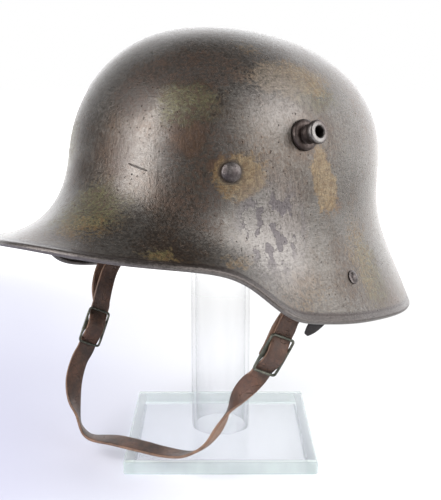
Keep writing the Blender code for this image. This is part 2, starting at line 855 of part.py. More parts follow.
def ribbon_mesh(name, sections, width, thickness, pace):
    """A flat strap through the sections: middle, the way its face looks and a share of the width."""
    middles = [spot for spot, _, _ in sections]
    facings = [Vector((*face, share)) for _, face, share in sections]
    spots, facings = smooth_lines(middles, facings, pace)
    points = []
    for index, (spot, facing_out) in enumerate(zip(spots, facings)):
        ahead = (spots[min(index + 1, len(spots) - 1)] - spots[max(index - 1, 0)]).normalized()
        face = facing_out.to_3d()
        face = (face - ahead * face.dot(ahead)).normalized()
        across = ahead.cross(face) * width * facing_out.w
        for sideways, deep in STRAP_OUTLINE:
            points.append(spot + across * sideways + face * (deep * thickness))
    count = len(STRAP_OUTLINE)
    faces = []
    for index in range(len(spots) - 1):
        for corner in range(count):
            following = (corner + 1) % count
            near = index * count
            far = near + count
            faces.append((near + corner, far + corner, far + following, near + following))
    last = (len(spots) - 1) * count
    for corner in range(count // 2 - 1):
        opposite = count - 1 - corner
        faces.append((corner, corner + 1, opposite - 1, opposite))
        faces.append((last + opposite, last + opposite - 1, last + corner + 1, last + corner))
    mesh = mesh_from_grid(name, points, faces)
    weld(mesh)
    return mesh


def make_chin_strap():
    rows = section_points()
    loop = [(spot, face) for name, spot, face in rows if name == "loop"]
    route = strap_end(rows, 1) + loop + list(reversed(strap_end(rows, -1)))
    sections = [(spot, face, 1) for spot, face in route]
    mesh = ribbon_mesh("chin_strap", sections, STRAP_WIDTH, STRAP_THICKNESS, STRAP_PACE)
    add_object("chin_strap", mesh, "leather")


def buckle_mesh(name):
    """A rectangular wire frame with a plain middle bar."""
    half_wide = STRAP_WIDTH / 2 + BUCKLE_SIDE_PLAY + BUCKLE_WIRE / 2
    half_long = (BUCKLE_LENGTH - BUCKLE_WIRE) / 2
    route = []
    for quarter in range(4):
        sign_x = 1 if quarter in (0, 3) else -1
        sign_y = 1 if quarter in (0, 1) else -1
        centre = Vector((sign_x * (half_wide - BUCKLE_CORNER), sign_y * (half_long - BUCKLE_CORNER), 0))
        for step in range(CORNER_STEPS + 1):
            angle = math.pi / 2 * (quarter + step / CORNER_STEPS)
            route.append(centre + Vector((math.cos(angle), math.sin(angle), 0)) * BUCKLE_CORNER)
    end = Vector((half_wide, 0, 0))
    return wire_mesh(name, route, BUCKLE_WIRE, True), wire_mesh("middle_bar", [-end, end], BUCKLE_BAR)


def make_buckles():
    rows = section_points()
    for name, section in (("buckle_left", "left_buckle"), ("buckle_right", "right_buckle")):
        mesh, bar = buckle_mesh(name)
        frame = buckle_frame(rows, section)
        buckle = add_object(name, mesh, "buckle_steel", frame)
        add_boolean(buckle, add_cutter(name + "_bar", bar, frame), "UNION")


def make_torn_tab():
    """A curled remnant of leather that hangs from the left lug's plate below the skirt."""
    lug = lug_frame(1)
    out = lug.col[2].to_3d()
    beside = peen_radius() + 2 * GAP + TAB_SECTIONS[0][3] * TAB_WIDTH / 2
    top = lug @ Vector((beside, 0, -LUG_PLATE - GAP - TAB_THICKNESS / 2))
    sections = []
    for fall, forward, outward, width, azimuth in TAB_SECTIONS:
        spot = top + Vector((outward, -forward, -fall)) * TAB_FALL
        sections.append((spot, face_vector(azimuth, 0) if fall > 0 else out, width))
    mesh = ribbon_mesh("torn_tab", sections, TAB_WIDTH, TAB_THICKNESS, STRAP_PACE)
    add_object("torn_tab", mesh, "leather")


def crown_height_over_tube():
    """Lowest height of the shell's inner face over the tube's rim."""
    outer = TUBE_DIAMETER / 2 + MM
    inner = TUBE_DIAMETER / 2 - TUBE_WALL - MM
    lowest = math.inf
    for step in range(1, CROWN_SAMPLES + 1):
        place = CROWN_REACH * step / CROWN_SAMPLES
        for bearing in range(0, 360, 360 // COLUMNS):
            spot = HELMET_MATRIX @ (outer_point(bearing, place) - outer_normal(bearing, place) * SHEET)
            if inner < math.hypot(spot.x, spot.y) < outer:
                lowest = min(lowest, spot.z)
    return lowest


def make_stand():
    mesh = block_mesh("stand_plate", (PLATE_SIDE, PLATE_SIDE, PLATE_THICKNESS))
    frame = Matrix.Translation((0, 0, PLATE_THICKNESS / 2)) @ Matrix.Rotation(PLATE_TURN, 4, "Z")
    plate = add_object("stand_plate", mesh, "clear_glass", frame, smooth=False)
    chamfer = plate.modifiers.new("chamfer", "BEVEL")
    chamfer.width = PLATE_CHAMFER
    chamfer.segments = 1

    radius = TUBE_DIAMETER / 2
    bottom = PLATE_THICKNESS + GAP
    top = crown_height_over_tube() - GAP
    outline = [
        (radius - TUBE_WALL, top),
        (radius, top),
        (radius, bottom),
        (radius - TUBE_WALL, bottom),
        (radius - TUBE_WALL, top),
    ]
    add_object("stand_tube", turned_mesh("stand_tube", outline, TUBE_STEPS), "clear_acrylic")


clear_scene()
PARTS = collection("combat_helmet")
CUTTERS = collection("cutters")
HELMET_PLACE = Matrix.Translation((SHIFT_LEFT, SHIFT_BACK, PLATE_THICKNESS + LIFT))
HELMET_MATRIX = HELMET_PLACE @ Matrix.Rotation(-NOSE_UP, 4, "X")
HELMET = bpy.data.objects.new("helmet_frame", None)
PARTS.objects.link(HELMET)
HELMET.matrix_world = HELMET_MATRIX
make_shell()
make_liner_rivets()
make_skirt_rivets()
make_vent_lugs()
make_strap_lugs()
make_chin_strap()
make_buckles()
make_torn_tab()
make_stand()
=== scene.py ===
"""An old painted steel helmet and its leather strap on a clear stand, seen from the front left."""
import math

import bpy
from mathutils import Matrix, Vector


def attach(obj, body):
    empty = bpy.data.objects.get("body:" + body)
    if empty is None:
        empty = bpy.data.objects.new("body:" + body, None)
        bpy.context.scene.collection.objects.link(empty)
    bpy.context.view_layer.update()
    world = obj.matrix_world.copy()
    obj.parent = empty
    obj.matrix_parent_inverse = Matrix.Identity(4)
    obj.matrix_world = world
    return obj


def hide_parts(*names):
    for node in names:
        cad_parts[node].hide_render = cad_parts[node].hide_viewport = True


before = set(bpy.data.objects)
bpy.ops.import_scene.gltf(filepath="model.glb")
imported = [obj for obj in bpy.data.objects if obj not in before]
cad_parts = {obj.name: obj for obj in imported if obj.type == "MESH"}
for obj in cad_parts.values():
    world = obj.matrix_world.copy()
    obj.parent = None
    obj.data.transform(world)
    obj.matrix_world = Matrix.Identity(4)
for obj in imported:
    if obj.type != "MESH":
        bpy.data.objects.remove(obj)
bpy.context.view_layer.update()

MM = 0.001
HELMET_MIDDLE = 0.005  # the helmet's mid-plane, along X
PLATE_TURN = 43  # degrees that the plate is turned by
RIVET_HOLE = 2.7 * MM  # radii that take in a drilled hole's rims
LUG_HOLE = 5.2 * MM
HOLE_DEPTH = 12 * MM  # how far along a fitting's axis its hole can reach
HOLE_PATCH = 15 * MM  # how far around a closed hole the sheet is evened out
HEM_EDGE = 1.9 * MM  # vertices with a shorter edge belong to the rolled hem
ROUNDING_LEVELS = 2  # subdivision steps of every smoothed piece
SAME_WAY = 0.9995  # cosine of the angle up to which two faces count as facing alike
WHITE_SIDE = 203  # azimuth of the middle of the studio's white side, away from the camera
LIGHT_AIM = Vector((0, -0.01, 0.16))
CAMERA_PLACE = (0.4363, -0.4695, 0.2827)
CAMERA_TURN = 42.9  # azimuth that the camera looks from
CAMERA_DIP = 12.58  # degrees that the camera looks down by


# Shader values

class Value:
    """A number of a finish that varies over its surface, worked with as a plain expression."""

    def __init__(self, finish, socket):
        self.finish = finish
        self.socket = socket

    def math(self, operation, *terms):
        return self.finish.node("ShaderNodeMath", {"operation": operation}, dict(enumerate(terms)))

    def __add__(self, other):
        return self.math("ADD", self, other)

    def __sub__(self, other):
        return self.math("SUBTRACT", self, other)

    def __rsub__(self, other):
        return self.math("SUBTRACT", other, self)

    def __mul__(self, other):
        return self.math("MULTIPLY", self, other)

    __radd__ = __add__
    __rmul__ = __mul__

    def step(self, low, high):
        """0 below low, 1 above high and smooth between them; high may be the lower one."""
        if low < high:
            ends = {0: self, 1: low, 2: high, 3: 0.0, 4: 1.0}
        else:
            ends = {0: self, 1: high, 2: low, 3: 1.0, 4: 0.0}
        return self.finish.node("ShaderNodeMapRange", {"interpolation_type": "SMOOTHSTEP"}, ends)

    def most(self, other):
        return self.math("MAXIMUM", self, other)

    def size(self):
        return self.math("ABSOLUTE", self)


class Finish:
    """A material, or the room's light, that is being put together."""

    def __init__(self, owner, place="Object"):
        self.owner = owner
        owner.use_nodes = True
        self.tree = owner.node_tree
        self.tree.nodes.clear()
        self.place = self.node("ShaderNodeTexCoord", output=place)

    def node(self, kind, settings=None, inputs=None, output=0):
        made = self.tree.nodes.new(kind)
        for name, setting in (settings or {}).items():
            setattr(made, name, setting)
        for key, value in (inputs or {}).items():
            if isinstance(value, Value):
                self.tree.links.new(value.socket, made.inputs[key])
            else:
                made.inputs[key].default_value = value
        return None if output is None else Value(self, made.outputs[output])

    def moved(self, offset=(0, 0, 0), turn=(0, 0, 0), stretch=(1, 1, 1), source=None):
        """The place on the piece, shifted, turned and stretched for a pattern."""
        turned = [math.radians(angle) for angle in turn]
        return self.node(
            "ShaderNodeMapping",
            {"vector_type": "POINT"},
            {"Vector": source or self.place, "Location": offset, "Rotation": turned, "Scale": stretch},
        )

    def along(self, axis, source=None):
        """One coordinate of a place."""
        return self.node("ShaderNodeSeparateXYZ", {}, {0: source or self.place}, axis)

    def grain(self, size, detail=4, rough=0.55, stretch=(1, 1, 1), turn=(0, 0, 0), seed=0, bend=0.0):
        """Cloudy noise from 0 to 1 whose marks are about a size across, in metres."""
        inputs = {
            "Vector": self.moved((seed, 0.37 * seed, 0), turn, stretch),
            "Scale": 1 / size,
            "Detail": detail,
            "Roughness": rough,
            "Distortion": bend,
        }
        return self.node("ShaderNodeTexNoise", {"noise_dimensions": "3D"}, inputs)

    def cells(self, size, seed=0, feature="F1"):
        """Distance to the nearest of scattered points about a size apart, in shares of that size."""
        source = self.moved((seed, 0, 0.61 * seed))
        return self.node(
            "ShaderNodeTexVoronoi",
            {"voronoi_dimensions": "3D", "feature": feature},
            {"Vector": source, "Scale": 1 / size, "Randomness": 1.0},
        )

    def strayed(self, mark, reach, seed=0):
        """The place, pushed about by noise, so that what is drawn at it gets ragged edges."""
        source = self.moved((seed, 0, 0))
        cloud = self.node(
            "ShaderNodeTexNoise",
            {"noise_dimensions": "3D"},
            {"Vector": source, "Scale": 1 / mark, "Detail": 5.0, "Roughness": 0.65},
            "Color",
        )
        middle = (0.5, 0.5, 0.5)
        push = self.node("ShaderNodeVectorMath", {"operation": "SUBTRACT"}, {0: cloud, 1: middle})
        push = self.node("ShaderNodeVectorMath", {"operation": "SCALE"}, {0: push, "Scale": 2 * reach})
        return self.node("ShaderNodeVectorMath", {"operation": "ADD"}, {0: self.place, 1: push})

    def spot(self, centre, half, turn=(0, 0, 0), soft=0.2, source=None):
        """1 inside an egg-shaped patch, 0 outside it. Lengths are in millimetres."""
        turned = [math.radians(angle) for angle in turn]
        near = self.node(
            "ShaderNodeMapping",
            {"vector_type": "TEXTURE"},
            {
                "Vector": source or self.place,
                "Location": [value * MM for value in centre],
                "Rotation": turned,
                "Scale": [value * MM for value in half],
            },
        )
        away = self.node("ShaderNodeVectorMath", {"operation": "LENGTH"}, {0: near}, "Value")
        return away.step(1 + soft, 1 - soft)

    def mix(self, share, first, second):
        """A colour between two others."""
        return self.node(
            "ShaderNodeMix",
            {"data_type": "RGBA"},
            {0: share, 6: self.colour(first), 7: self.colour(second)},
            2,
        )

    def tinted(self, colour, amount):
        """A colour made lighter or darker by a varying amount."""
        return self.node("ShaderNodeVectorMath", {"operation": "SCALE"}, {0: colour, "Scale": amount})

    @staticmethod
    def colour(value):
        return value if isinstance(value, Value) else (*value, 1)

    def attribute(self, name):
        """A number that the piece stores at each vertex."""
        return self.node("ShaderNodeAttribute", {"attribute_name": name}, output="Fac")

    def bumped(self, height, distance):
        """The surface's direction, tilted by a relief whose full height is a distance in metres."""
        inputs = {"Height": height, "Distance": distance, "Strength": 1.0}
        return self.node("ShaderNodeBump", {}, inputs)

    def finished(self, **sockets):
        """Joins the values to the surface. A name's underscores stand for blanks."""
        inputs = {name.replace("_", " "): value for name, value in sockets.items()}
        shader = self.node("ShaderNodeBsdfPrincipled", {}, inputs)
        self.node("ShaderNodeOutputMaterial", {}, {"Surface": shader}, output=None)
        return self.owner


# Camouflage patches on the shell: the centre and the half sizes in millimetres, the turn in degrees,
# the paint, how much of it is left and how ragged its edge is
PATCHES = (
    ((81, -69, 207), (16, 20, 12.5), (0, 0, 58), "ochre", 1.0, 0.35),
    ((73, -80, 214), (8, 14, 5), (0, -35, 50), "rust", 0.9, 0.4),
    ((101, -5, 184), (10, 10, 6), (0, 0, 80), "rust", 0.6, 0.5),
    ((97, -11, 199), (20, 10, 20), (16, 0, 0), "ochre", 1.0, 0.25),
    ((52, -84, 247), (17, 20, 15), (0, 0, 32), "olive", 0.8, 0.6),
    ((57, -88, 228), (13, 20, 9), (0, 0, 32), "rust", 0.85, 0.6),
    ((60, -44, 262), (9, 20, 3), (0, 0, 41), "rust", 0.7, 0.6),
    ((60, -85, 212), (14, 20, 22), (0, 0, 38), "olive", 0.35, 0.9),
    ((40, -72, 266), (34, 20, 12), (0, 0, 41), "brown", 0.9, 0.7),
    ((62, -26, 276), (30, 20, 6), (0, 0, 84), "brown", 0.35, 0.7),
    ((20, -96, 254), (16, 20, 16), (0, 0, 20), "brown", 0.7, 0.8),
    ((74, -20, 260), (34, 22, 12), (0, 0, 60), "ochre", 0.68, 0.6),
    ((83, -8, 251), (22, 16, 10), (0, 0, 72), "olive", 0.6, 0.6),
    ((55, -34, 279), (6, 10, 5), (0, 0, 41), "ochre", 0.35, 0.8),
    ((15, -130, 187), (24, 24, 18), (0, 0, 0), "olive", 0.85, 0.8),
    ((21, -142, 180), (18, 14, 12), (0, 0, 20), "ochre", 0.42, 0.8),
    ((63, -117, 165), (15, 20, 4), (0, 4, 56), "ochre", 0.45, 0.35),
    ((60, -119, 166), (14, 20, 4.5), (0, 4, 56), "olive", 0.9, 0.35),
    ((91, -84, 160), (11, 20, 3), (0, 6, 56), "ochre", 0.45, 0.35),
    ((107, 20, 150), (20, 14, 30), (0, 0, 0), "ochre", 0.36, 0.85),
    ((110, 26, 138), (20, 15, 28), (0, 0, 0), "olive", 0.6, 0.85),
    ((86, 42, 242), (18, 14, 17), (0, 0, 0), "rust", 0.28, 0.9),
    ((107, -50, 137), (20, 24, 14), (0, 0, 0), "ochre", 0.3, 0.8),
    ((64, -88, 210), (22, 20, 46), (0, 0, 45), "brown", 0.62, 0.9),
    ((22, -112, 215), (9, 20, 34), (0, 0, 10), "brown", 0.4, 0.9),
    ((-72, -70, 200), (20, 18, 15), (0, 0, -50), "ochre", 0.85, 0.5),
    ((-86, -12, 226), (20, 20, 13), (0, 0, 90), "olive", 0.75, 0.7),
    ((-92, 32, 190), (20, 14, 24), (0, 0, 0), "ochre", 0.7, 0.5),
    ((-46, -104, 222), (16, 20, 18), (0, 0, -30), "olive", 0.7, 0.8),
    ((-98, -30, 150), (20, 24, 13), (0, 0, 0), "rust", 0.5, 0.8),
    ((-48, 88, 215), (20, 20, 17), (0, 0, 30), "olive", 0.75, 0.7),
    ((24, 108, 190), (20, 20, 15), (0, 0, -15), "ochre", 0.8, 0.4),
    ((68, 84, 230), (16, 20, 16), (0, 0, -40), "olive", 0.7, 0.8),
    ((-20, 132, 140), (30, 20, 11), (0, 0, 0), "ochre", 0.55, 0.7),
    ((-6, 20, 288), (26, 30, 20), (0, 0, 0), "brown", 0.7, 0.8),
    ((-34, -40, 280), (22, 16, 20), (0, 0, 30), "olive", 0.6, 0.8),
    ((70, 76, 150), (16, 20, 15), (0, 0, -45), "brown", 0.6, 0.8),
)
PAINTS = {
    # a paint's main colour, the colour of its stains and how broken up it is
    "olive": ((0.098, 0.090, 0.027), (0.056, 0.040, 0.020), 0.7),
    "rust": ((0.135, 0.062, 0.026), (0.070, 0.042, 0.026), 0.6),
    "brown": ((0.018, 0.011, 0.008), (0.044, 0.026, 0.018), 0.5),
    "ochre": ((0.245, 0.172, 0.082), (0.112, 0.068, 0.029), 0.45),
}


def painted_shell():
    """Worn camouflage over brushed steel, with chips and pits, a painted shadow round a rivet, a dark
    inside that is partly painted shade, and a rolled rim painted lighter below and darker above and in
    its fold.
    """
    paint = Finish(bpy.data.materials.new("worn_camouflage"))
    cloud = paint.grain(0.045, 6, 0.6, seed=1)
    fine = paint.grain(0.0017, 5, 0.7, seed=2)
    level = paint.grain(0.0030, 5, 0.65, (0.45, 0.45, 2.0), (0, 12, 0), seed=3, bend=1.6)
    upright = paint.grain(0.0036, 5, 0.65, (1.8, 1.8, 0.32), (8, -6, 0), seed=4, bend=1.2)
    which = cloud.step(0.45, 0.55)
    strokes = level * which + upright * (1 - which)
    curls = paint.grain(0.0055, 4, 0.62, seed=11, bend=2.4)
    mottle = (fine * 0.4 + strokes * 0.25 + curls * 0.35).step(0.40, 0.58)

    patina = (cloud * 0.5 + strokes * 0.25 + fine * 0.25).step(0.40, 0.60)
    base = paint.mix(patina, (0.073, 0.059, 0.049), (0.119, 0.110, 0.101))
    rusty = (curls * 0.45 + upright * 0.2 + (1 - cloud) * 0.35).step(0.50, 0.60)
    base = paint.mix(rusty * 0.38, base, (0.084, 0.050, 0.034))
    frayed = paint.strayed(0.010, 0.010, 9)
    stained = (curls * 0.6 + fine * 0.4).step(0.45, 0.55)
    painted = None
    for name, (colour, stain, scatter) in PAINTS.items():
        layer = None
        for centre, half, turn, colour_name, left, ragged in PATCHES:
            if colour_name != name:
                continue
            patch = paint.spot(centre, half, turn, 0.2 + 0.4 * ragged, frayed) * left
            layer = patch if layer is None else layer.most(patch)
        layer = (0.45 + 0.45 * mottle) * (layer + scatter * (mottle - 0.5)).step(0.12, 0.86)
        base = paint.mix(layer, base, paint.mix(stained, colour, stain))
        painted = layer if painted is None else painted.most(layer)

    worn = paint.spot((94, -53, 166), (24, 24, 34), soft=0.6, source=frayed)
    worn = worn.most(paint.spot((80, -36, 250), (24, 22, 20), soft=0.6, source=frayed) * 0.7)
    worn = worn.most(paint.spot((34, -105, 215), (16, 20, 30), soft=0.6, source=frayed) * 0.35)
    worn = worn * (0.65 + 0.35 * mottle)
    base = paint.mix(worn * 0.7, base, (0.205, 0.192, 0.184))
    chip_area = paint.spot((94, -54, 175), (22, 22, 23), soft=0.4, source=frayed)
    chips = chip_area * paint.grain(0.0068, 3, 0.55, (1, 1, 0.7), seed=44).step(0.53, 0.555)
    base = paint.mix(chips * 0.85, base, (0.080, 0.067, 0.071))

    scratch = paint.spot((32.5, -105.5, 211.5), (6.5, 5, 0.5), (0, 15, 15))
    scratch = scratch.most(paint.spot((45.5, -102, 206), (0.5, 5, 4.5), (0, 0, 20)) * 0.6)
    pits = paint.cells(0.0026, 7).step(0.22, 0.10) * curls.step(0.50, 0.62)
    pits = pits.most(scratch)
    base = paint.mix(pits * 0.4, base, (0.022, 0.018, 0.015))
    # Painted shadow: the sheet is darkened in a ring round the left liner rivet.
    painted_rivet_shadow = paint.spot((77.7, -74.7, 209.5), (7.6, 7.6, 7.6), soft=0.16)
    base = paint.mix(painted_rivet_shadow * 0.75, base, (0.030, 0.024, 0.022))

    rolled = paint.attribute("hem")
    hem = rolled.step(0.25, 0.9)
    # Painted shade: a dark line along the fold where the bead meets the sheet.
    painted_fold_shade = rolled.step(0.5, 0.85) * rolled.step(1.0, 0.92)
    # Painted light and shade: the bead is lighter where it faces down, as if lit from the floor, and
    # darker where it faces up.
    under = paint.attribute("under").step(0.35, 0.65)
    rim = paint.mix(under, (0.060, 0.050, 0.047), (0.128, 0.115, 0.108))
    base = paint.mix(rolled.step(0.84, 1.0) * 0.85, base, rim)
    base = paint.mix(painted_fold_shade * 0.8, base, (0.030, 0.021, 0.020))
    # The inside is dark: partly its own bare finish, partly painted shade.
    inside = paint.attribute("inner").step(0.3, 0.8) * (1 - hem)
    base = paint.mix(inside, base, (0.030, 0.025, 0.022))
    base = paint.tinted(base, 0.69 + 0.26 * strokes.step(0.32, 0.68) + 0.36 * fine.step(0.3, 0.7))

    rough = 0.30 + 0.10 * cloud + 0.20 * (fine - 0.5) + 0.14 * (strokes - 0.5)
    rough = rough + 0.10 * painted + 0.2 * pits + 0.2 * inside
    metal = 0.80 - 0.60 * painted - 0.4 * chips - 0.4 * inside - 0.1 * hem
    relief = strokes * 0.6 + fine * 0.6 - pits * 1.8 - chips * 0.5
    return paint.finished(
        Base_Color=base,
        Metallic=metal,
        Roughness=rough,
        Normal=paint.bumped(relief, 0.00028),
    )


def folded_place(paint):
    """The place on a fitting, with the wearer's right side folded onto the left."""
    across = (paint.along("X") - HELMET_MIDDLE).size()
    folded = {0: across, 1: paint.along("Y"), 2: paint.along("Z")}
    return paint.node("ShaderNodeCombineXYZ", {}, folded)


def tarnished_fitting(name, dark, bright, rough):
    """Dark tarnished steel that is rubbed bright in places."""
    metal = Finish(bpy.data.materials.new(name))
    cloud = metal.grain(0.006, 5, 0.6, seed=1)
    fine = metal.grain(0.0014, 5, 0.7, seed=2)
    pits = metal.cells(0.0016, 3).step(0.22, 0.1) * cloud.step(0.4, 0.6)
    shade = metal.mix((cloud * 0.7 + fine * 0.6 - 0.15).step(0.35, 0.8), dark, bright)
    shade = metal.mix(pits * 0.7, shade, (0.02, 0.016, 0.014))
    relief = cloud * 0.8 + fine * 0.9 - pits * 1.2
    return metal.finished(
        Base_Color=shade,
        Metallic=0.9,
        Roughness=rough + 0.2 * (fine - 0.5) + 0.2 * pits,
        Normal=metal.bumped(relief, 0.00016),
    )


def rubbed_lug():
    """Dark brown steel with a bright worn end ring."""
    metal = Finish(bpy.data.materials.new("rubbed_side_lug"))
    near = folded_place(metal)
    cloud = metal.grain(0.005, 5, 0.6, seed=1)
    fine = metal.grain(0.0014, 5, 0.7, seed=2)
    end = metal.spot((104.5, -32, 231.5), (7.5, 7.5, 7.5), soft=0.3, source=near)
    shade = metal.mix(cloud.step(0.35, 0.65), (0.035, 0.024, 0.021), (0.090, 0.072, 0.066))
    shade = metal.mix(end * (0.4 + 0.5 * fine.step(0.35, 0.6)), shade, (0.21, 0.20, 0.195))
    return metal.finished(
        Base_Color=shade,
        Metallic=0.9,
        Roughness=0.44 + 0.25 * (fine - 0.4) - 0.06 * end,
        Normal=metal.bumped(cloud * 0.5 + fine * 0.6, 0.00018),
    )


def old_leather(name, dark, light, sheen=0.5):
    """Dry creased leather."""
    hide = Finish(bpy.data.materials.new(name))
    cloud = hide.grain(0.02, 5, 0.6, seed=1)
    blotch = hide.grain(0.006, 5, 0.65, seed=2)
    pores = hide.cells(0.0011, 3)
    cracks = hide.cells(0.005, 4, "DISTANCE_TO_EDGE").step(0.05, 0.0) * blotch.step(0.45, 0.6)
    shade = hide.mix((cloud * 0.6 + blotch * 0.5).step(0.4, 0.72), dark, light)
    shade = hide.mix(cracks * 0.7, shade, (0.012, 0.008, 0.006))
    relief = pores * 0.35 + blotch * 0.8 - cracks * 1.4
    return hide.finished(
        Base_Color=shade,
        Roughness=0.62 - 0.16 * blotch * sheen + 0.1 * cracks,
        Normal=hide.bumped(relief, 0.0003),
    )


def clear_tube():
    """Clear plastic, seen mostly where the wall is looked at along its length, where it is painted a
    darker grey as shade.
    """
    clear = Finish(bpy.data.materials.new("clear_tube"))
    edge = clear.node("ShaderNodeLayerWeight", {}, {"Blend": 0.35}, "Facing")
    smear = clear.grain(0.03, 3, 0.5, (1, 1, 0.12), seed=1).step(0.5, 0.7)
    return clear.finished(
        # Painted shade: the wall's colour darkens where it is seen edge-on.
        Base_Color=clear.mix(edge, (0.70, 0.74, 0.78), (0.16, 0.18, 0.19)),
        Roughness=0.05,
        Alpha=0.03 + 0.05 * smear + 0.6 * (edge * edge * edge),
    )


def clear_plate():
    """The plate's clear top, with a painted grey gleam beside its left and right edges, standing in for
    thick glass's reflection.
    """
    clear = Finish(bpy.data.materials.new("clear_plate"))
    turned = clear.moved(turn=(0, 0, -PLATE_TURN))
    across = clear.along("X", turned).size()
    deep = clear.along("Y", turned)
    # Painted reflection: a darker, less clear band beside the left and right edges.
    gleam = across.step(0.0575, 0.0590) * across.step(0.0645, 0.0630)
    gleam = gleam * (1 - deep.step(0.058, 0.060))
    border = across.step(0.0635, 0.0645)
    border = border.most(deep.step(0.0600, 0.0615)).most(deep.step(-0.0600, -0.0625))
    shade = clear.mix(gleam, (0.47, 0.50, 0.54), (0.29, 0.32, 0.35))
    shade = clear.mix(border, shade, (0.62, 0.70, 0.68))
    return clear.finished(Base_Color=shade, Roughness=0.2, Alpha=0.23 + 0.45 * gleam + 0.4 * border)


def clear_edge():
    """The plate's greenish sides."""
    clear = Finish(bpy.data.materials.new("clear_plate_edge"))
    cloud = clear.grain(0.02, 3, 0.5, (1, 1, 0.3), seed=2)
    return clear.finished(
        Base_Color=clear.mix(cloud, (0.36, 0.42, 0.42), (0.56, 0.64, 0.62)),
        Roughness=0.2,
        Alpha=0.55 + 0.2 * cloud,
    )


# Modelling

def only(piece):
    """Picks one piece and nothing else."""
    bpy.ops.object.select_all(action="DESELECT")
    piece.select_set(True)
    bpy.context.view_layer.objects.active = piece


def merged_copy(node, name):
    """A copy of a CAD node as one joined skin."""
    piece = bpy.data.objects.new(name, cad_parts[node].data.copy())
    bpy.context.scene.collection.objects.link(piece)
    piece.data.materials.clear()
    only(piece)
    bpy.ops.mesh.customdata_custom_splitnormals_clear()
    bpy.ops.object.mode_set(mode="EDIT")
    bpy.ops.mesh.select_all(action="SELECT")
    bpy.ops.mesh.remove_doubles(threshold=0.00002)
    bpy.ops.mesh.mark_sharp(clear=True)
    bpy.ops.object.mode_set(mode="OBJECT")
    return piece


def squared(piece, bend=40):
    """Joins pairs of triangles into four-sided faces."""
    only(piece)
    bpy.ops.object.mode_set(mode="EDIT")
    bpy.ops.mesh.select_all(action="SELECT")
    bpy.ops.mesh.tris_convert_to_quads(
        face_threshold=math.radians(bend),
        shape_threshold=math.radians(60),
    )
    bpy.ops.mesh.normals_make_consistent(inside=False)
    bpy.ops.object.mode_set(mode="OBJECT")


def creased(piece, sharpness, amount):
    """Keeps a piece's crisp edges nearly crisp under subdivision."""
    only(piece)
    bpy.ops.object.mode_set(mode="EDIT")
    bpy.ops.mesh.select_mode(type="EDGE")
    bpy.ops.mesh.select_all(action="DESELECT")
    bpy.ops.mesh.edges_select_sharp(sharpness=math.radians(sharpness))
    bpy.ops.transform.edge_crease(value=amount)
    bpy.ops.object.mode_set(mode="OBJECT")


def subdivided(piece):
    """Rounds a piece off by subdivision and shades it smooth."""
    modifier = piece.modifiers.new("rounding", "SUBSURF")
    modifier.levels = ROUNDING_LEVELS
    modifier.render_levels = ROUNDING_LEVELS
    only(piece)
    bpy.ops.object.modifier_apply(modifier=modifier.name)
    bpy.ops.object.shade_smooth()


def pick_vertices(piece, wanted):
    """Selects the vertices that a test picks by place, and stays in edit mode."""
    only(piece)
    bpy.ops.object.mode_set(mode="EDIT")
    bpy.ops.mesh.select_mode(type="VERT")
    bpy.ops.mesh.select_all(action="DESELECT")
    bpy.ops.object.mode_set(mode="OBJECT")
    for vertex in piece.data.vertices:
        if wanted(vertex.co):
            vertex.select = True
    bpy.ops.object.mode_set(mode="EDIT")


def spread(piece, name, values):
    """Stores one number per vertex under a name that a finish can read."""
    layer = piece.data.attributes.new(name, "FLOAT", "POINT")
    layer.data.foreach_set("value", values)


def smooth_share(value, low, high):
    """0 at low, 1 at high and smooth between them."""
    share = min(max((value - low) / (high - low), 0.0), 1.0)
    return share * share * (3 - 2 * share)


def tip_visor(shell):
    """Raises the visor's left edge a little, as in the photo, and lowers its right one half as much."""
    rise = 2.6 * MM
    for vertex in shell.data.vertices:
        place = vertex.co
        ahead = smooth_share(place.y, -54 * MM, -92 * MM)
        low = smooth_share(place.z, 220 * MM, 172 * MM)
        aside = 1.5 * smooth_share(place.x, -40 * MM, 75 * MM) - 0.5
        place.z += rise * ahead * low * aside


def make_shell():
    """The shell without its drilled holes, smooth, with its rim and its inside marked."""
    shell = merged_copy("helmet_shell", "helmet_shell_worn")
    holes = [(node, RIVET_HOLE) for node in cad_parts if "rivet" in node]
    holes += [(node, LUG_HOLE) for node in ("vent_lug_left", "vent_lug_right")]
    for node, radius in holes:
        middle, axis = fitting_axis(node)

        def in_hole(place, side):
            offset = place - middle
            along = offset.dot(axis)
            near = (offset - axis * along).length < radius and abs(along) < HOLE_DEPTH
            return near and side(along)

        split = hole_split(shell, middle, axis, radius)
        pick_vertices(shell, lambda place: in_hole(place, lambda along: along > split))
        bpy.ops.mesh.merge(type="CENTER")
        bpy.ops.object.mode_set(mode="OBJECT")
        pick_vertices(shell, lambda place: in_hole(place, lambda along: along < split))
        bpy.ops.mesh.merge(type="CENTER")
        bpy.ops.object.mode_set(mode="OBJECT")
    tip_visor(shell)
    squared(shell)
    mark_shell(shell)
    subdivided(shell)
    for node, _ in holes:
        middle, _ = fitting_axis(node)
        pick_vertices(shell, lambda place: (place - middle).length < HOLE_PATCH)
        bpy.ops.mesh.vertices_smooth(factor=0.5, repeat=8)
        bpy.ops.object.mode_set(mode="OBJECT")
    shell.data.materials.append(painted_shell())
    return shell


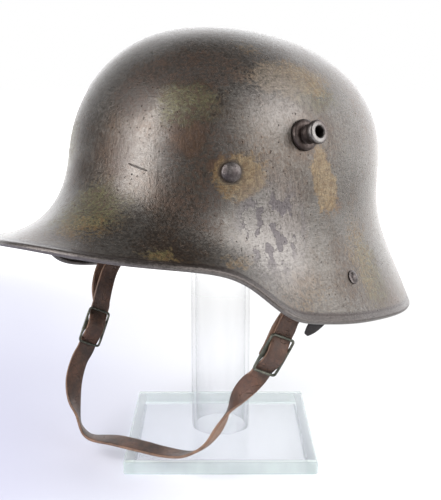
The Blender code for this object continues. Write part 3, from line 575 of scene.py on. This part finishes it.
def mark_shell(shell):
    """Marks the rolled hem, the inside and what faces down, for the paint and for the painted light and
    shade on the rim.
    """
    shortest = [1.0] * len(shell.data.vertices)
    for edge in shell.data.edges:
        first, second = edge.vertices
        length = (shell.data.vertices[first].co - shell.data.vertices[second].co).length
        shortest[first] = min(shortest[first], length)
        shortest[second] = min(shortest[second], length)
    centre = Vector((HELMET_MIDDLE, -0.01, 0.1))  # outer faces point away from here
    inner = [vertex.normal.dot(vertex.co - centre) < 0 for vertex in shell.data.vertices]
    spread(shell, "hem", [float(length < HEM_EDGE) for length in shortest])
    spread(shell, "inner", [float(inside) for inside in inner])
    spread(shell, "under", [float(vertex.normal.z < 0.1) for vertex in shell.data.vertices])


def fitting_axis(node):
    """The middle of a turned fitting and the way it points out of the shell."""
    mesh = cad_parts[node].data
    places = [vertex.co for vertex in mesh.vertices]
    middle = sum(places, Vector()) / len(places)
    outward = middle - Vector((HELMET_MIDDLE, 0, middle.z))
    axis = flattest(mesh)
    if axis.dot(outward) < 0:
        axis = -axis
    return middle, axis


def flattest(mesh):
    """The direction that a turned mesh's flat rings face: the one most of its area agrees with."""
    best, most = None, -1.0
    for face in mesh.polygons:
        alike = (other for other in mesh.polygons if abs(other.normal.dot(face.normal)) > SAME_WAY)
        score = sum(other.area for other in alike)
        if score > most:
            best, most = face.normal.copy(), score
    return best


def hole_split(shell, middle, axis, radius):
    """Halfway between the outer and the inner rim of a drilled hole, along its axis."""
    heights = []
    for vertex in shell.data.vertices:
        offset = vertex.co - middle
        along = offset.dot(axis)
        if (offset - axis * along).length < radius and abs(along) < HOLE_DEPTH:
            heights.append(along)
    return (min(heights) + max(heights)) / 2


def make_fitting(node, name, finish, sharpness=35, crease=0.7):
    """A small turned or wire fitting, rounded from its CAD shape."""
    piece = merged_copy(node, name)
    squared(piece, 60)
    creased(piece, sharpness, crease)
    subdivided(piece)
    piece.data.materials.append(finish)
    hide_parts(node)
    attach(piece, "root")
    return piece


shell = make_shell()
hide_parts("helmet_shell")
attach(shell, "root")

RIVET_STEEL = tarnished_fitting(
    "tarnished_rivet", (0.060, 0.049, 0.048), (0.185, 0.165, 0.158), 0.46
)
LUG_STEEL = rubbed_lug()
BUCKLE_STEEL = tarnished_fitting(
    "tarnished_buckle", (0.055, 0.060, 0.048), (0.19, 0.185, 0.15), 0.48
)
for side in ("left", "right", "rear"):
    make_fitting("liner_rivet_" + side, "domed_rivet_" + side, RIVET_STEEL)
for side in ("left", "right"):
    rivet = make_fitting("skirt_rivet_" + side, "flanged_rivet_" + side, RIVET_STEEL, crease=0.1)
    lug = make_fitting("vent_lug_" + side, "hollow_lug_" + side, LUG_STEEL, crease=0.8)
    loop = make_fitting("strap_lug_" + side, "strap_loop_" + side, RIVET_STEEL, crease=0.8)
    buckle = make_fitting("buckle_" + side, "wire_buckle_" + side, BUCKLE_STEEL, 50, 0.5)

GRAIN_SIDE = old_leather("strap_grain_side", (0.035, 0.019, 0.013), (0.120, 0.055, 0.032))
FLESH_SIDE = old_leather("strap_flesh_side", (0.110, 0.060, 0.038), (0.260, 0.150, 0.095), 0.2)


def make_strap():
    """The strap, softened, with a smooth outer side and a paler rough inner side."""
    strap = merged_copy("chin_strap", "leather_strap")
    squared(strap, 60)
    strap.data.materials.append(FLESH_SIDE)
    strap.data.materials.append(GRAIN_SIDE)
    outer_place = Vector((-30, -76, 12)) * MM  # on the smooth side
    facing = Vector((0.28, -0.34, 0.9)).normalized()
    near = [face for face in strap.data.polygons if (face.center - outer_place).length < 12 * MM]
    seed = max(near, key=lambda face: face.normal.dot(facing)).index
    only(strap)
    bpy.ops.object.mode_set(mode="EDIT")
    bpy.ops.mesh.select_mode(type="FACE")
    bpy.ops.mesh.select_all(action="DESELECT")
    bpy.ops.object.mode_set(mode="OBJECT")
    strap.data.polygons[seed].select = True
    bpy.ops.object.mode_set(mode="EDIT")
    bpy.ops.mesh.faces_select_linked_flat(sharpness=math.radians(58))
    strap.active_material_index = 1
    bpy.ops.object.material_slot_assign()
    bpy.ops.object.mode_set(mode="OBJECT")
    creased(strap, 60, 0.55)
    subdivided(strap)
    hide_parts("chin_strap")
    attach(strap, "root")


make_strap()
TAB_LEATHER = old_leather("torn_tab_leather", (0.006, 0.004, 0.005), (0.030, 0.022, 0.022), 0.0)
make_fitting("torn_tab", "torn_leather_tab", TAB_LEATHER, 60, 0.4)

tube = make_fitting("stand_tube", "clear_stand_tube", clear_tube(), crease=1.0)
tube.visible_shadow = False


def make_plate():
    """The plate, with its greenish edges in a finish of their own."""
    plate = merged_copy("stand_plate", "clear_stand_plate")
    squared(plate, 5)
    plate.data.materials.append(clear_plate())
    plate.data.materials.append(clear_edge())
    for face in plate.data.polygons:
        face.material_index = 0 if abs(face.normal.z) > 0.9 else 1
    plate.visible_shadow = False
    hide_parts("stand_plate")
    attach(plate, "root")


make_plate()


# Floor, lights and camera

def pale_floor():
    """Pale bluish paper with painted shade, darker and bluer toward the front left, that fades into the
    bright white glow behind it.
    """
    paper = Finish(bpy.data.materials.new("pale_floor"))
    turned = paper.moved(turn=(0, 0, -PLATE_TURN))
    across = paper.along("X", turned)
    back = paper.along("Y", turned)
    # Painted shade: the paper is darker and bluer toward the front left.
    painted_floor_shade = across.step(0.12, -0.22) * (0.65 + 0.35 * back.step(0.45, -0.1))
    shade = paper.mix(painted_floor_shade, (0.90, 0.91, 0.93), (0.51, 0.51, 0.65))
    bright = 1.0 + 2.4 * back.step(0.3, 1.2)
    glow = paper.node("ShaderNodeEmission", {}, {"Color": (1, 1, 1, 1), "Strength": bright})
    matt = paper.node("ShaderNodeBsdfPrincipled", {}, {"Base Color": shade, "Roughness": 0.6})
    fade = (back - 0.35 * across.step(0.0, -0.3)).step(0.0, 0.38).most(across.step(0.1, 0.35))
    both = paper.node("ShaderNodeMixShader", {}, {0: fade, 1: matt, 2: glow})
    paper.node("ShaderNodeOutputMaterial", {}, {"Surface": both}, output=None)
    return paper.owner


bpy.ops.object.select_all(action="DESELECT")
bpy.ops.mesh.primitive_circle_add(
    vertices=96,
    radius=3,
    fill_type="NGON",
    location=(-1.5, 1.61, -0.0002),
)
floor = bpy.context.object
floor.name = "floor"
bpy.ops.object.transform_apply(location=True, rotation=True, scale=True)
floor.data.materials.append(pale_floor())


def soft_light(name, azimuth, elevation, distance, width, height, power, glossy=True):
    """A soft box that looks at the helmet, from azimuth 0 in front of it to 90 at the wearer's left."""
    azimuth = math.radians(azimuth)
    elevation = math.radians(elevation)
    flat = math.cos(elevation)
    way = Vector((math.sin(azimuth) * flat, -math.cos(azimuth) * flat, math.sin(elevation)))
    data = bpy.data.lights.new(name, "AREA")
    data.shape = "RECTANGLE"
    data.size = width
    data.size_y = height
    data.energy = power
    lamp = bpy.data.objects.new(name, data)
    bpy.context.scene.collection.objects.link(lamp)
    lamp.location = LIGHT_AIM + way * distance
    lamp.rotation_euler = way.to_track_quat("Z", "Y").to_euler()
    lamp.visible_camera = False
    lamp.visible_glossy = glossy


soft_light("left_soft_box", -16, 24, 1.3, 0.7, 1.25, 24)
soft_light("right_soft_box", 106, 22, 1.3, 1.35, 1.15, 22)
soft_light("top_fill", 43, 80, 1.6, 2.0, 2.0, 8, glossy=False)


def studio_world():
    """White behind the helmet, dim overhead and on the camera's side."""
    world = bpy.data.worlds.new("studio")
    bpy.context.scene.world = world
    studio = Finish(world, "Generated")
    azimuth = math.radians(WHITE_SIDE)
    behind = studio.node(
        "ShaderNodeVectorMath",
        {"operation": "DOT_PRODUCT"},
        {0: studio.place, 1: (math.sin(azimuth), -math.cos(azimuth), -0.15)},
        "Value",
    )
    strength = 0.12 + 3.0 * (behind.step(0.1, 0.85) * studio.along("Z").step(0.95, 0.3))
    dim = studio.node("ShaderNodeBackground", {}, {"Color": (0.97, 0.98, 1, 1), "Strength": strength})
    seen = studio.node("ShaderNodeBackground", {}, {"Color": (1, 1, 1, 1), "Strength": 1.0})
    camera_ray = studio.node("ShaderNodeLightPath", output="Is Camera Ray")
    both = studio.node("ShaderNodeMixShader", {}, {0: camera_ray, 1: dim, 2: seen})
    studio.node("ShaderNodeOutputWorld", {}, {"Surface": both}, output=None)


studio_world()

camera_data = bpy.data.cameras.new("camera")
camera_data.lens = 67.1
camera = bpy.data.objects.new("camera", camera_data)
bpy.context.scene.collection.objects.link(camera)
camera.location = CAMERA_PLACE
camera.rotation_euler = (math.radians(90 - CAMERA_DIP), 0, math.radians(CAMERA_TURN))
bpy.context.scene.camera = camera
bpy.context.scene.view_settings.view_transform = "Standard"
